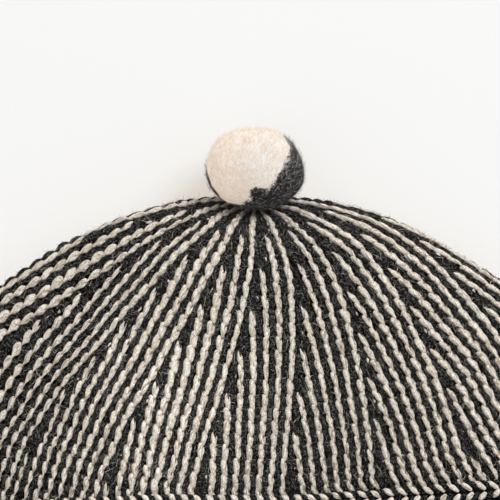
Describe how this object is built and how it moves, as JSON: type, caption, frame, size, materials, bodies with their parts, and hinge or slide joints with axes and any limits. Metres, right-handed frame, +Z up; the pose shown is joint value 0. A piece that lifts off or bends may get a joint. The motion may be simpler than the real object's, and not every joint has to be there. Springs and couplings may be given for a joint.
{
  "type": "knit cap with turned-up cuff and felt ball",
  "caption": "Soft knit cap lying on its back, with a tapered crown in vertical stripes, a turned-up cuff, a chain cast-on edge and a felt ball at the top.",
  "frame": {"origin": "on the resting surface, under the middle of the whole cap's box", "axes": "+Z up from the surface the cap lies on, +Y from the brim to the ball, +X across the cap"},
  "size_m": [0.266, 0.1828, 0.0355],
  "materials": {
    "striped_knit": "matte",
    "cream_wool": "matte",
    "black_wool": "matte",
    "felt": "matte"
  },
  "bodies": {
    "root": {"crown": "striped_knit", "cuff": "striped_knit", "cast_on_edge": "cream_wool", "pompom": "felt"}
  },
  "joints": []
}
